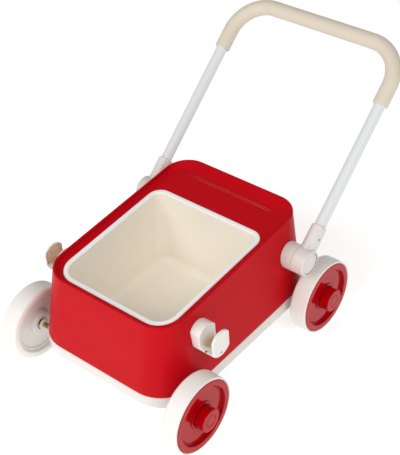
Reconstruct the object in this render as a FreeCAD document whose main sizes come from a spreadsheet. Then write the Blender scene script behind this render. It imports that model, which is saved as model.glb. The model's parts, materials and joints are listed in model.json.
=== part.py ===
import FreeCAD, Part
import math
import os

import Sketcher

# Child's push-along shopping trolley with a fold-down handle.
# Frame: X across, -Y to the front, +Z up, floor at Z = 0, millimetres.
# Working Y zero is midway between the axles; every sub-part is then placed so that
# the origin falls under the middle of the whole trolley.

SIZES = {
    # wheels
    "wheelRadius": 60.0, "wheelBase": 301.2, "wheelInner": 143.8, "tyreWidth": 29.4,
    "tyreInner": 50.0, "tyreRound": 3.4, "rimDepth": 24.4, "capRadius": 56.7, "capFace": 29.9,
    "dishRadius": 47.3, "dishThick": 2.0, "hubRadius": 11.0, "hubRing": 20.0, "webDepth": 12.0,
    "knobRadius": 18.0, "knobFace": 42.7, "knobBore": 12.5, "axleRadius": 4.0, "axleLength": 354.0,
    "runClear": 0.05, "gap": 0.3,
    # base tray
    "baseHalf": 135.9, "baseFront": 180.7, "baseRear": 174.8, "baseBottom": 52.2, "baseTop": 72.6,
    "baseCorner": 59.0, "trayFloor": 3.0, "spigotRise": 4.0, "spigotInset": 4.8, "spigotWall": 1.5,
    "postX": 118.0, "postRadius": 6.0, "postHeight": 28.0,
    # red shell and its top lip, set out along the tilted lip plane from its front edge
    "shellWall": 3.2, "lipHalf": 118.8, "lipFront": 156.5, "lipHeight": 186.6, "lipTilt": 3.3,
    "lipLength": 323.0, "lipCornerFront": 43.0, "lipCornerRear": 41.0, "lipWide": 3.6,
    "deckDrop": 7.7, "deckThick": 3.2, "rearSlope": 17.0,
    # bin
    "rimHalf": 105.5, "rimFront": 12.4, "rimRear": 246.0, "rimCornerFront": 34.0, "rimCorner": 22.0,
    "rimWide": 8.0,
    "rimThick": 3.0, "rimDrop": 8.0, "binWall": 2.2, "binFloor": 57.8, "binDraft": 3.4,
    "ledgeDepth": 8.2, "binClear": 0.4,
    # handle, hinge and button
    "pivotRear": 117.5, "pivotHeight": 147.0, "lean": 50.03, "handleReach": 349.9,
    "tubeSpread": 150.9, "tubeRadius": 9.0, "tubeWall": 1.2, "tubeStart": 24.0, "bendRadius": 58.0,
    "gripRadius": 12.3, "gripStart": 260.0, "hingeRadius": 20.9, "seamX": 143.0, "knuckleEnd": 165.0,
    "socketRadius": 12.0, "socketEnd": 57.0, "pinRadius": 5.0, "pocketFloor": 155.0,
    "buttonRadius": 16.6, "buttonInner": 160.4, "buttonFace": 164.2,
    "screwAlong": 38.0, "screwUp": 3.6,
    # front clips that hold the folded handle
    "clipFront": 92.5, "clipHeight": 149.0, "clipRadius": 21.3, "clipHalf": 17.5, "clipEnd": 160.3,
    "coverEnd": 164.0, "notchHalf": 11.6, "notchHeight": 148.3, "stubRadius": 9.0, "ribThick": 1.2,
    "latchLow": 135.5,
}


class Size:
    """A number together with the sheet expression that yields it."""

    def __init__(self, value, text=None):
        self.value = float(value)
        self.text = text if text else repr(float(value))
        self.bound = text is not None

    def _with(self, other, sign, number):
        other = as_size(other)
        joined = Size(number(self.value, other.value), f"({self.text} {sign} {other.text})")
        joined.bound = self.bound or other.bound
        return joined

    def __add__(self, other):
        return self._with(other, "+", lambda a, b: a + b)

    def __sub__(self, other):
        return self._with(other, "-", lambda a, b: a - b)

    def __mul__(self, other):
        return self._with(other, "*", lambda a, b: a * b)

    def __truediv__(self, other):
        return self._with(other, "/", lambda a, b: a / b)

    def __radd__(self, other):
        return as_size(other) + self

    def __rsub__(self, other):
        return as_size(other) - self

    def __neg__(self):
        return self * -1.0


def as_size(value):
    return value if isinstance(value, Size) else Size(value)


def turned(size, name):
    """Sine or cosine of an angle in degrees, as a Size."""
    angle = math.radians(size.value)
    return Size(math.sin(angle) if name == "sin" else math.cos(angle), f"{name}({size.text})")


doc = FreeCAD.newDocument("trolley")
sheet = doc.addObject("Spreadsheet::Sheet", "Sizes")
for row, (alias, number) in enumerate(SIZES.items(), start=1):
    sheet.set(f"A{row}", alias)
    sheet.set(f"B{row}", str(number))
    sheet.setAlias(f"B{row}", alias)
doc.recompute()
S = {alias: Size(number, f"Sizes.{alias}") for alias, number in SIZES.items()}

RIGHT = FreeCAD.Vector(1, 0, 0)
ALONG_X = FreeCAD.Rotation(FreeCAD.Vector(0, 1, 0), 90)
HALF_TURN = FreeCAD.Rotation(FreeCAD.Vector(0, 0, 1), 180)
PARTS = []

axle_y = S["wheelBase"] / 2
bar_y = S["pivotRear"] + S["handleReach"] * turned(S["lean"], "sin")
middle_y = (bar_y + S["gripRadius"] - axle_y - S["wheelRadius"]) / 2


def place(obj, x=0.0, y=0.0, z=0.0, rotation=None):
    """Place an object, the working Y zero moved to the middle of the trolley."""
    spot = [as_size(x), as_size(y) - middle_y, as_size(z)]
    centre = FreeCAD.Vector(*[v.value for v in spot])
    obj.Placement = FreeCAD.Placement(centre, rotation or FreeCAD.Rotation())
    for axis, size in zip("xyz", spot):
        if size.bound:
            obj.setExpression(f"Placement.Base.{axis}", size.text)
    return obj


def place_on_handle(obj):
    """Place an object drawn with +Y along the handle tubes and its zero on the hinge axis."""
    place(obj, 0.0, S["pivotRear"], S["pivotHeight"], FreeCAD.Rotation(RIGHT, 90 - S["lean"].value))
    obj.setExpression("Placement.Rotation.Angle", f"90 - {S['lean'].text}")
    return obj


def keep(obj, label):
    obj.Label = label
    PARTS.append(obj)
    return obj


def new_body(name):
    return doc.addObject("PartDesign::Body", name)


def origin(body, role):
    return next(item for item in body.Origin.OriginFeatures if item.Role == role)


def sketch_on(body, plane="XY_Plane", lift=0.0, y=0.0, z=0.0, tilt=None):
    """Sketch on an origin plane, lifted along its normal or set on a plane tilted about X."""
    sketch = body.newObject("Sketcher::SketchObject", "Sketch")
    sketch.AttachmentSupport = (origin(body, plane), "")
    sketch.MapMode = "FlatFace"
    if tilt is None:
        lift = as_size(lift)
        sketch.AttachmentOffset = FreeCAD.Placement(FreeCAD.Vector(0, 0, lift.value), FreeCAD.Rotation())
        if lift.bound:
            sketch.setExpression("AttachmentOffset.Base.z", lift.text)
        return sketch
    turn = FreeCAD.Rotation(RIGHT, tilt.value)
    sketch.AttachmentOffset = FreeCAD.Placement(FreeCAD.Vector(0, y.value, z.value), turn)
    sketch.setExpression("AttachmentOffset.Base.y", y.text)
    sketch.setExpression("AttachmentOffset.Base.z", z.text)
    sketch.setExpression("AttachmentOffset.Rotation.Angle", tilt.text)
    return sketch


def fix(sketch, kind, where, size):
    """Dimension a sketch point or curve, bound to the sheet when the size comes from it."""
    size = as_size(size)
    if kind in ("DistanceX", "DistanceY") and not size.bound and size.value == 0.0:
        axis = -2 if kind == "DistanceX" else -1
        sketch.addConstraint(Sketcher.Constraint("PointOnObject", where[0], where[1], axis))
        return
    index = sketch.addConstraint(Sketcher.Constraint(kind, *where, size.value))
    if size.bound:
        sketch.setExpression(f"Constraints[{index}]", size.text)


def circles(sketch, spots, *radii):
    for x, y in spots:
        x, y = as_size(x), as_size(y)
        for radius in radii:
            radius = as_size(radius)
            centre = FreeCAD.Vector(x.value, y.value, 0)
            index = sketch.addGeometry(Part.Circle(centre, FreeCAD.Vector(0, 0, 1), radius.value))
            fix(sketch, "DistanceX", (index, 3), x)
            fix(sketch, "DistanceY", (index, 3), y)
            fix(sketch, "Radius", (index,), radius)
    return sketch


def polygon(sketch, points):
    points = [(as_size(x), as_size(y)) for x, y in points]
    corners = [FreeCAD.Vector(x.value, y.value, 0) for x, y in points]
    first = sketch.GeometryCount
    count = len(corners)
    for i in range(count):
        sketch.addGeometry(Part.LineSegment(corners[i], corners[(i + 1) % count]))
    for i, (x, y) in enumerate(points):
        joined = Sketcher.Constraint("Coincident", first + i, 1, first + (i - 1) % count, 2)
        sketch.addConstraint(joined)
        fix(sketch, "DistanceX", (first + i, 1), x)
        fix(sketch, "DistanceY", (first + i, 1), y)
    return sketch


def box(sketch, across, along):
    """Rectangle between two stations on each sketch axis."""
    (x0, x1), (y0, y1) = across, along
    return polygon(sketch, [(x0, y0), (x1, y0), (x1, y1), (x0, y1)])


def rounded(sketch, half, front, rear, corner_front, corner_rear=None):
    """Rounded rectangle symmetric about the Y axis, from y = front to y = rear."""
    corner_rear = corner_rear or corner_front
    corners = [(1, front, corner_front, 1), (1, rear, corner_rear, -1),
               (-1, rear, corner_rear, -1), (-1, front, corner_front, 1)]
    quarter = math.pi / 2
    arcs, ends = [], []
    for turn, (side, y, radius, step) in enumerate(corners):
        x, y, radius = (half - radius) * side, y + radius * step, as_size(radius)
        centre = FreeCAD.Vector(x.value, y.value, 0)
        circle = Part.Circle(centre, FreeCAD.Vector(0, 0, 1), radius.value)
        arc = Part.ArcOfCircle(circle, (turn - 1) * quarter, turn * quarter)
        arcs.append(sketch.addGeometry(arc))
        ends.append((arc.StartPoint, arc.EndPoint))
        fix(sketch, "DistanceX", (arcs[-1], 3), x)
        fix(sketch, "DistanceY", (arcs[-1], 3), y)
        fix(sketch, "Radius", (arcs[-1],), radius)
    for i in range(4):
        after = (i + 1) % 4
        line = sketch.addGeometry(Part.LineSegment(ends[i][1], ends[after][0]))
        sketch.addConstraint(Sketcher.Constraint("Tangent", arcs[i], 2, line, 1))
        sketch.addConstraint(Sketcher.Constraint("Tangent", line, 2, arcs[after], 1))
    return sketch


def feature(body, kind, profile, length=None, **settings):
    made = body.newObject(f"PartDesign::{kind}", kind)
    made.Profile = profile
    if length is not None:
        length = as_size(length)
        made.Length = length.value
        if length.bound:
            made.setExpression("Length", length.text)
    for name, value in settings.items():
        setattr(made, name, value)
    profile.Visibility = False
    doc.recompute()
    return made


def pad(body, sketch, length, **settings):
    return feature(body, "Pad", sketch, length, **settings)


def pocket(body, sketch, length, **settings):
    return feature(body, "Pocket", sketch, length, **settings)


def through(body, sketch):
    return feature(body, "Pocket", sketch, Type="ThroughAll", Midplane=True)


def loft(body, kind, first, second):
    return feature(body, kind, first, Sections=[second])


def spin(body, sketch, kind="Revolution"):
    return feature(body, kind, sketch, ReferenceAxis=(origin(body, "X_Axis"), [""]), Angle=360.0)


def round_edges(body, radius, chosen):
    """Fillet every edge of the body's tip that the test accepts."""
    tip = body.Tip
    names = [f"Edge{i}" for i, edge in enumerate(tip.Shape.Edges, start=1) if chosen(edge)]
    radius = as_size(radius)
    made = body.newObject("PartDesign::Fillet", "Fillet")
    made.Base = (tip, names)
    made.Radius = radius.value
    if radius.bound:
        made.setExpression("Radius", radius.text)
    doc.recompute()
    return made


def is_ring(edge, radius, x=None):
    """True for a full circle about the X direction with the given radius (and station)."""
    if edge.Curve.TypeId != "Part::GeomCircle" or abs(edge.Curve.Radius - radius) > 0.01:
        return False
    return x is None or abs(edge.Curve.Center.x - x) < 0.01


def is_arc(edge, radius, x):
    """True for an open arc about the X direction at station x."""
    return is_ring(edge, radius, x) and len(edge.Vertexes) == 2


def mirrored(source, label):
    """Left-hand twin of a right-hand piece."""
    twin = doc.addObject("Part::Mirroring", "Mirror")
    twin.Source = source
    twin.Normal = (1, 0, 0)
    return keep(twin, label)


# ---------------------------------------------------------------- base tray
posts = [(S["postX"] * side, y) for side in (-1, 1) for y in (-118.0, -18.0, 82.0)]


def tray_outline(body, lift, inset=0.0):
    inset = as_size(inset)
    sketch = sketch_on(body, lift=lift)
    corner = S["baseCorner"] - inset
    return rounded(sketch, S["baseHalf"] - inset, inset - S["baseFront"], S["baseRear"] - inset, corner)


base = new_body("BaseTray")
pad(base, tray_outline(base, S["baseBottom"]), S["baseTop"] - S["baseBottom"])
round_edges(base, 2.5, lambda e: abs(e.BoundBox.ZMax - S["baseBottom"].value) < 0.01)
rise = S["baseTop"] - S["baseBottom"] - S["trayFloor"]
pad(base, tray_outline(base, S["baseTop"], S["spigotInset"]), S["spigotRise"])
inside = tray_outline(base, S["baseTop"] + S["spigotRise"], S["spigotInset"] + S["spigotWall"])
pocket(base, inside, rise + S["spigotRise"])
sketch = sketch_on(base, lift=S["baseBottom"] + S["trayFloor"])
pad(base, circles(sketch, posts, S["postRadius"]), rise)
sketch = sketch_on(base, lift=S["baseBottom"] + S["trayFloor"])
for side in (-1, 1):
    for end in (-1, 1):
        box(sketch, (side * 100.0, side * 118.0), (axle_y * end - 8.0, axle_y * end + 8.0))
pad(base, sketch, S["axleRadius"] * 2 + 3.0)
sketch = sketch_on(base, lift=S["baseBottom"] + S["trayFloor"])
for x in (-78.0, -26.0, 26.0, 78.0):
    box(sketch, (x - 1.0, x + 1.0), (-128.0, 128.0))
pad(base, sketch, 1.6)
axles = [(-axle_y, S["wheelRadius"]), (axle_y, S["wheelRadius"])]
through(base, circles(sketch_on(base, "YZ_Plane"), axles, S["axleRadius"]))
through(base, circles(sketch_on(base, lift=S["baseBottom"]), posts, 1.9))
pocket(base, circles(sketch_on(base, lift=S["baseBottom"]), posts, 4.1), 4.0, Reversed=True)
keep(place(base), "base_tray")

screws = new_body("BaseScrews")
pad(screws, circles(sketch_on(screws, lift=S["baseBottom"] + 1.4), posts, 3.8), 2.6)
pad(screws, circles(sketch_on(screws, lift=S["baseBottom"] + 4.0), posts, 1.9), 36.0)
pocket(screws, circles(sketch_on(screws, lift=S["baseBottom"] + 1.4), posts, 1.6), 1.5, Reversed=True)
keep(place(screws), "base_screws")


# ---------------------------------------------------------------- red shell
def lip_sketch(body, depth=0.0):
    """Sketch parallel to the lip plane, `depth` below it; its Y runs back from the front edge."""
    depth = as_size(depth)
    y = depth * turned(S["lipTilt"], "sin") - S["lipFront"]
    z = S["lipHeight"] - depth * turned(S["lipTilt"], "cos")
    return sketch_on(body, y=y, z=z, tilt=S["lipTilt"])


def lip_outline(body, depth=0.0, inset=0.0, rear_inset=None):
    inset = as_size(inset)
    rear_inset = inset if rear_inset is None else as_size(rear_inset)
    return rounded(lip_sketch(body, depth), S["lipHalf"] - inset, inset, S["lipLength"] - rear_inset,
                   S["lipCornerFront"] - inset, S["lipCornerRear"] - inset)


def hull(body):
    return loft(body, "AdditiveLoft", tray_outline(body, S["baseTop"]), lip_outline(body))


def rim_outline(body, depth, grow):
    """Outline of the bin rim enlarged by `grow`, on a plane `depth` below the lip."""
    grow = as_size(grow)
    return rounded(lip_sketch(body, depth), S["rimHalf"] + grow, S["rimFront"] - grow,
                   S["rimRear"] + grow, S["rimCornerFront"] + grow, S["rimCorner"] + grow)


shell = new_body("BodyShell")
hull(shell)
under_deck = S["deckDrop"] + S["deckThick"]
loft(shell, "SubtractiveLoft", tray_outline(shell, S["baseTop"], S["shellWall"]),
     lip_outline(shell, under_deck, S["shellWall"] - 1.4))
loft(shell, "SubtractiveLoft", lip_outline(shell, 0.0, S["lipWide"]),
     lip_outline(shell, S["deckDrop"], S["lipWide"] + 0.3, S["lipWide"] + S["rearSlope"]))
pad(shell, rim_outline(shell, S["deckDrop"], 3.0), S["ledgeDepth"], Reversed=True)
pocket(shell, rim_outline(shell, S["deckDrop"], 0.7), S["rimThick"] + S["rimDrop"] - S["deckDrop"])
opening = rim_outline(shell, S["deckDrop"], S["binWall"] + S["binClear"] - S["rimWide"])
pocket(shell, opening, S["ledgeDepth"] + 2.0)
pad(shell, circles(sketch_on(shell, lift=S["baseTop"]), posts, S["postRadius"]), S["postHeight"])
fin_start = S["spigotRise"] + S["gap"]
sketch = sketch_on(shell, lift=S["baseTop"] + fin_start)
for x, y in posts:
    side = 1 if x.value > 0 else -1
    box(sketch, sorted((x.value, x.value + 13.0 * side)), (y - 1.2, y + 1.2))
pad(shell, sketch, S["postHeight"] - fin_start)
pocket(shell, circles(sketch_on(shell, lift=S["baseTop"]), posts, 1.9), 24.0, Reversed=True)
mounts = [(S["pivotRear"], S["pivotHeight"]), (-S["clipFront"], S["clipHeight"])]
through(shell, circles(sketch_on(shell, "YZ_Plane"), mounts, S["stubRadius"]))
keep(place(shell), "body_shell")

hull_tool = new_body("HullTool")
hull(hull_tool)

# ---------------------------------------------------------------- bin
bin_body = new_body("Bin")


def bin_loft(kind, depth, wall, floor):
    """Tapering box between the rim plane and a level floor."""
    inset = S["rimWide"] - wall
    draft = S["binDraft"] + inset
    low = sketch_on(bin_body, lift=floor)
    front = S["rimFront"] - S["lipFront"] + draft + 1.0
    rear = S["rimRear"] - S["lipFront"] - draft - 2.2
    corners = (S["rimCornerFront"] - inset, S["rimCorner"] - inset)
    rounded(low, S["rimHalf"] - draft, front, rear, *corners)
    high = rounded(lip_sketch(bin_body, depth), S["rimHalf"] - inset, S["rimFront"] + inset,
                   S["rimRear"] - inset, *corners)
    return loft(bin_body, kind, low, high)


bin_loft("AdditiveLoft", S["rimDrop"] + 0.5, S["binWall"], S["binFloor"])
pad(bin_body, rim_outline(bin_body, S["rimDrop"], 0.0), S["rimThick"], Reversed=True)
bin_loft("SubtractiveLoft", S["rimDrop"], 0.0, S["binFloor"] + S["binWall"])
floor_top = S["binFloor"] + S["binWall"]
lip_normal = FreeCAD.Vector(0, -turned(S["lipTilt"], "sin").value, turned(S["lipTilt"], "cos").value)
lip_corner = FreeCAD.Vector(0, -S["lipFront"].value, S["lipHeight"].value)


def on_floor(edge):
    return all(abs(v.Z - floor_top.value) < 0.01 for v in edge.Vertexes)


def on_rim_top(edge):
    depths = [-(v.Point - lip_corner).dot(lip_normal) for v in edge.Vertexes]
    return all(abs(depth - S["rimDrop"].value) < 0.05 for depth in depths)


round_edges(bin_body, 7.0, on_floor)
round_edges(bin_body, 1.3, on_rim_top)
pocket(bin_body, circles(sketch_on(bin_body, lift=floor_top), [(-16.0, 15.6)], 14.0, 13.2), 0.4)
keep(place(bin_body), "bin")

# ---------------------------------------------------------------- axles
for label, y in (("front_axle", -axle_y), ("rear_axle", axle_y)):
    axle = doc.addObject("Part::Cylinder", "Axle")
    axle.setExpression("Radius", S["axleRadius"].text)
    axle.setExpression("Height", S["axleLength"].text)
    keep(place(axle, -S["axleLength"] / 2, y, S["wheelRadius"], ALONG_X), label)

for label, start, thick, radius in (("axle_washers", S["wheelInner"] - 3.2, 2.9, 9.0),
                                    ("axle_retainers", S["wheelInner"] + 22.4, 4.2, 8.0)):
    rings = new_body("AxleRings")
    for side in (-1, 1):
        sketch = sketch_on(rings, "YZ_Plane", start * side)
        circles(sketch, axles, radius, S["axleRadius"])
        pad(rings, sketch, thick, Reversed=side < 0)
    keep(place(rings), label)


# ---------------------------------------------------------------- wheels
def wheel_piece(name, points, rounds=()):
    """Turned wheel piece: points are (distance from the inner side, radius)."""
    body = new_body(name)
    spin(body, polygon(sketch_on(body), points))
    for radius, chosen in rounds:
        round_edges(body, radius, chosen)
    return body


def tyre():
    points = [(0.0, S["tyreInner"]), (S["rimDepth"], S["tyreInner"]), (S["rimDepth"], S["capRadius"] + 0.2),
              (S["tyreWidth"], S["capRadius"] + 0.2), (S["tyreWidth"], S["wheelRadius"]),
              (0.0, S["wheelRadius"])]
    radius = S["wheelRadius"].value
    outer = (1.2, lambda e: is_ring(e, radius, S["tyreWidth"].value))
    inner = (S["tyreRound"], lambda e: is_ring(e, radius, 0.0))
    return wheel_piece("Tyre", points, (outer, inner))


def core():
    bore = S["axleRadius"] + S["runClear"]
    rim = S["dishRadius"] + 0.3
    points = [(0.4, bore), (0.4, 16.0), (1.6, 17.0), (0.8, 18.5), (0.8, S["hubRing"]),
              (2.6, S["hubRing"] + 0.6), (2.6, 41.6), (3.8, 42.2), (3.8, 46.0), (7.5, 46.0),
              (7.5, S["tyreInner"]),
              (S["rimDepth"], S["tyreInner"]), (S["rimDepth"], rim), (S["webDepth"], rim),
              (S["webDepth"], S["hubRadius"]), (22.0, S["hubRadius"]), (22.0, bore)]
    return wheel_piece("Core", points)


def hub_cap():
    face = S["rimDepth"]
    back = face - S["dishThick"]
    points = [(face, S["capRadius"]), (S["capFace"], S["capRadius"]), (S["capFace"], S["dishRadius"] + 0.6),
              (S["capFace"] - 0.6, S["dishRadius"]), (face, S["dishRadius"] - 0.8), (face, 45.2),
              (face - 0.7, 44.8), (face - 0.7, 43.4), (face, 43.0), (face, 20.9), (face + 1.0, 20.5),
              (face + 1.0, S["knobRadius"] + 0.2), (face, S["knobRadius"] + 0.2), (face, 15.0),
              (back, 15.0), (back, S["dishRadius"]), (face, S["dishRadius"])]
    rounds = ((0.8, lambda e: is_ring(e, S["capRadius"].value, S["capFace"].value)),)
    return wheel_piece("HubCap", points, rounds)


def hub_knob():
    face = S["rimDepth"]
    end = S["knobFace"]
    points = [(face, S["knobBore"]), (face - 2.0, S["knobBore"]), (face - 2.0, 15.0), (face, 15.0),
              (face, S["knobRadius"]), (end, S["knobRadius"]), (end, 9.7), (end - 0.5, 9.5),
              (end - 0.5, 9.1), (end, 8.9), (end, 0.0), (end - 2.6, 0.0), (end - 2.6, S["knobBore"])]
    rounds = ((1.0, lambda e: is_ring(e, S["knobRadius"].value, end.value)),)
    return wheel_piece("HubKnob", points, rounds)


for end, end_sign in (("front", -1), ("rear", 1)):
    for hand, side in (("left", -1), ("right", 1)):
        turn = HALF_TURN if side < 0 else None
        for piece in (tyre, core, hub_cap, hub_knob):
            made = place(piece(), S["wheelInner"] * side, axle_y * end_sign, S["wheelRadius"], turn)
            keep(made, f"{piece.__name__}_{end}_{hand}")


# ---------------------------------------------------------------- hinge bosses and front clips
def on_wall(name, drum, y, z, label):
    """A drum trimmed to the shell's side, with a stub through the wall behind it."""
    trimmed = doc.addObject("Part::Cut", name)
    trimmed.Base, trimmed.Tool = drum, hull_tool
    stub = doc.addObject("Part::Cylinder", name + "Stub")
    stub.setExpression("Radius", S["stubRadius"].text)
    stub.Height = 26.0
    stub.Placement = FreeCAD.Placement(FreeCAD.Vector(104, y.value, z.value), ALONG_X)
    stub.setExpression("Placement.Base.y", y.text)
    stub.setExpression("Placement.Base.z", z.text)
    joined = doc.addObject("Part::MultiFuse", name + "Whole")
    joined.Shapes = [trimmed, stub]
    bore = doc.addObject("Part::Cylinder", name + "Bore")
    bore.Radius, bore.Height = 1.9, 18.0
    bore.Placement = FreeCAD.Placement(FreeCAD.Vector(103.5, y.value, z.value), ALONG_X)
    whole = doc.addObject("Part::Cut", name + "Drilled")
    whole.Base, whole.Tool = joined, bore
    doc.recompute()
    keep(place(whole), label + "_right")
    return mirrored(whole, label + "_left")


boss = new_body("HingeBoss")
spot = [(S["pivotRear"], S["pivotHeight"])]
pad(boss, circles(sketch_on(boss, "YZ_Plane", 100.0), spot, S["hingeRadius"]), S["seamX"] - 100.0)
pocket(boss, circles(sketch_on(boss, "YZ_Plane", S["seamX"]), spot, S["pinRadius"]), 20.0)
round_edges(boss, 0.6, lambda e: is_ring(e, S["hingeRadius"].value, S["seamX"].value))
on_wall("Boss", boss, S["pivotRear"], S["pivotHeight"], "hinge_boss")



def trough_outline(body):
    """U-shaped outline, open to the top, that takes the folded handle tube."""
    sketch = sketch_on(body, "XZ_Plane")
    left, right = S["tubeSpread"] - S["notchHalf"], S["tubeSpread"] + S["notchHalf"]
    low, high = S["notchHeight"].value, S["notchHeight"].value + 30.0
    centre = FreeCAD.Vector(S["tubeSpread"].value, low, 0)
    circle = Part.Circle(centre, FreeCAD.Vector(0, 0, 1), S["notchHalf"].value)
    sketch.addGeometry(Part.ArcOfCircle(circle, math.pi, 2 * math.pi))
    spots = ((right, low), (right, high), (left, high), (left, low))
    corners = [FreeCAD.Vector(x.value, z, 0) for x, z in spots]
    for start, stop in zip(corners, corners[1:]):
        sketch.addGeometry(Part.LineSegment(start, stop))
    for first, kind in enumerate(("Tangent", "Coincident", "Coincident", "Tangent")):
        sketch.addConstraint(Sketcher.Constraint(kind, first, 2, (first + 1) % 4, 1))
    sketch.addConstraint(Sketcher.Constraint("Horizontal", 2))
    fix(sketch, "DistanceX", (0, 3), S["tubeSpread"])
    fix(sketch, "DistanceY", (0, 3), S["notchHeight"])
    fix(sketch, "Radius", (0,), S["notchHalf"])
    fix(sketch, "DistanceY", (2, 1), S["notchHeight"] + 30.0)
    doc.recompute()
    return sketch


def flatten_sides(body):
    """Cut a clip drum flat at its front and rear and round the four corners left."""
    for side in (-1, 1):
        sketch = sketch_on(body, "YZ_Plane")
        near = S["clipHalf"] * side - S["clipFront"]
        box(sketch, (near, near + 12.0 * side), (S["clipHeight"] - 30.0, S["clipHeight"] + 30.0))
        through(body, sketch)
    round_edges(body, 4.0, lambda e: len(e.Vertexes) == 2 and e.Curve.TypeId == "Part::GeomLine"
                and abs(e.tangentAt(e.FirstParameter).x) > 0.99)


clip = new_body("Clip")
spot = [(-S["clipFront"], S["clipHeight"])]
pad(clip, circles(sketch_on(clip, "YZ_Plane", 100.0), spot, S["clipRadius"]), S["clipEnd"] - 100.0)
flatten_sides(clip)
through(clip, trough_outline(clip))
inner_wall = (S["tubeSpread"] - S["notchHalf"]).value
round_edges(clip, 0.8, lambda e: is_arc(e, S["clipRadius"].value, inner_wall))
latch_spots = [(148.0, -108.0), (149.6, -102.6)]
latch_top = S["notchHeight"] - 8.0
pocket(clip, circles(sketch_on(clip, lift=latch_top), latch_spots, 1.5), latch_top - S["latchLow"])
on_wall("Clip", clip, -S["clipFront"], S["clipHeight"], "clip_body")

def is_outline(edge, station):
    """True for an edge of the cover's outer outline in the plane X = station."""
    spots = [v.Point for v in edge.Vertexes]
    if any(abs(p.x - station) > 0.01 for p in spots) or len(spots) < 2:
        return False
    middle = FreeCAD.Vector(station, -S["clipFront"].value, S["clipHeight"].value)
    rises = [max(abs(p.y - middle.y), abs(p.z - middle.z)) for p in spots]
    return min(rises) > 15.5 and all((p - middle).Length > 17.6 for p in spots)


def hollow_span(half):
    """Square field of the cover's hollow side, `half` to each side of its centre."""
    return (-S["clipFront"] - half, half - S["clipFront"]), (S["clipHeight"] - half, S["clipHeight"] + half)


cover = new_body("ClipCover")
pad(cover, circles(sketch_on(cover, "YZ_Plane", S["clipEnd"]), spot, S["clipRadius"]),
    S["coverEnd"] - S["clipEnd"])
flatten_sides(cover)
hollow = S["coverEnd"] - S["clipEnd"] - 2.2
inside = box(sketch_on(cover, "YZ_Plane", S["clipEnd"]), *hollow_span(15.3))
pocket(cover, inside, hollow, Reversed=True)
half_rib = S["ribThick"] / 2
for step in (-8.5, 0.0, 8.5):
    (y0, y1), (z0, z1) = hollow_span(15.4)
    middle = S["clipHeight"] + step
    level = box(sketch_on(cover, "YZ_Plane", S["clipEnd"]), (y0, y1), (middle - half_rib, middle + half_rib))
    pad(cover, level, hollow)
    if step:
        middle = step - S["clipFront"]
        across = (middle - half_rib, middle + half_rib)
        pad(cover, box(sketch_on(cover, "YZ_Plane", S["clipEnd"]), across, (z0, z1)), hollow)
low_spot = [(-1.6 - S["clipFront"], S["clipHeight"] - 14.5)]
pad(cover, circles(sketch_on(cover, "YZ_Plane", S["clipEnd"]), low_spot, 3.6), hollow)
pocket(cover, circles(sketch_on(cover, "YZ_Plane", S["coverEnd"]), low_spot, 2.0), 6.0)
outline_faces = {S["coverEnd"].value: 1.8, S["clipEnd"].value: 0.6}
for station, radius in outline_faces.items():
    round_edges(cover, radius, lambda e: is_outline(e, station))
keep(place(cover), "clip_cover_right")
mirrored(cover, "clip_cover_left")

clip_screws = new_body("ClipScrews")
for side in (-1, 1):
    sketch = sketch_on(clip_screws, "YZ_Plane", (S["coverEnd"] - 0.9) * side)
    pad(clip_screws, circles(sketch, low_spot, 2.0), 2.6, Reversed=side > 0)
    x, y = latch_spots[0]
    pad(clip_screws, circles(sketch_on(clip_screws, lift=S["latchLow"]), [(x * side, y)], 1.5), 2.7)
keep(place(clip_screws), "clip_screws")

wall_screws = new_body("WallScrews")
for side in (-1, 1):
    for y, z in mounts:
        head = sketch_on(wall_screws, "YZ_Plane", 104.0 * side)
        pad(wall_screws, circles(head, [(y, z)], 4.0), 2.4, Reversed=side > 0)
        shank = sketch_on(wall_screws, "YZ_Plane", 104.0 * side)
        pad(wall_screws, circles(shank, [(y, z)], 1.9), 17.5, Reversed=side < 0)
keep(place(wall_screws), "wall_screws")

pin = new_body("PivotPin")
spot = [(S["pivotRear"], S["pivotHeight"])]
pad(pin, circles(sketch_on(pin, "YZ_Plane", S["seamX"] - 20.0), spot, S["pinRadius"]),
    S["pocketFloor"] - S["seamX"] + 20.3)
pad(pin, circles(sketch_on(pin, "YZ_Plane", S["pocketFloor"] + S["gap"]), spot, 9.0), 1.7)
keep(place(pin), "pivot_pin_right")
mirrored(pin, "pivot_pin_left")

# ---------------------------------------------------------------- handle
spread, reach, bend = S["tubeSpread"], S["handleReach"], S["bendRadius"]


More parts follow.
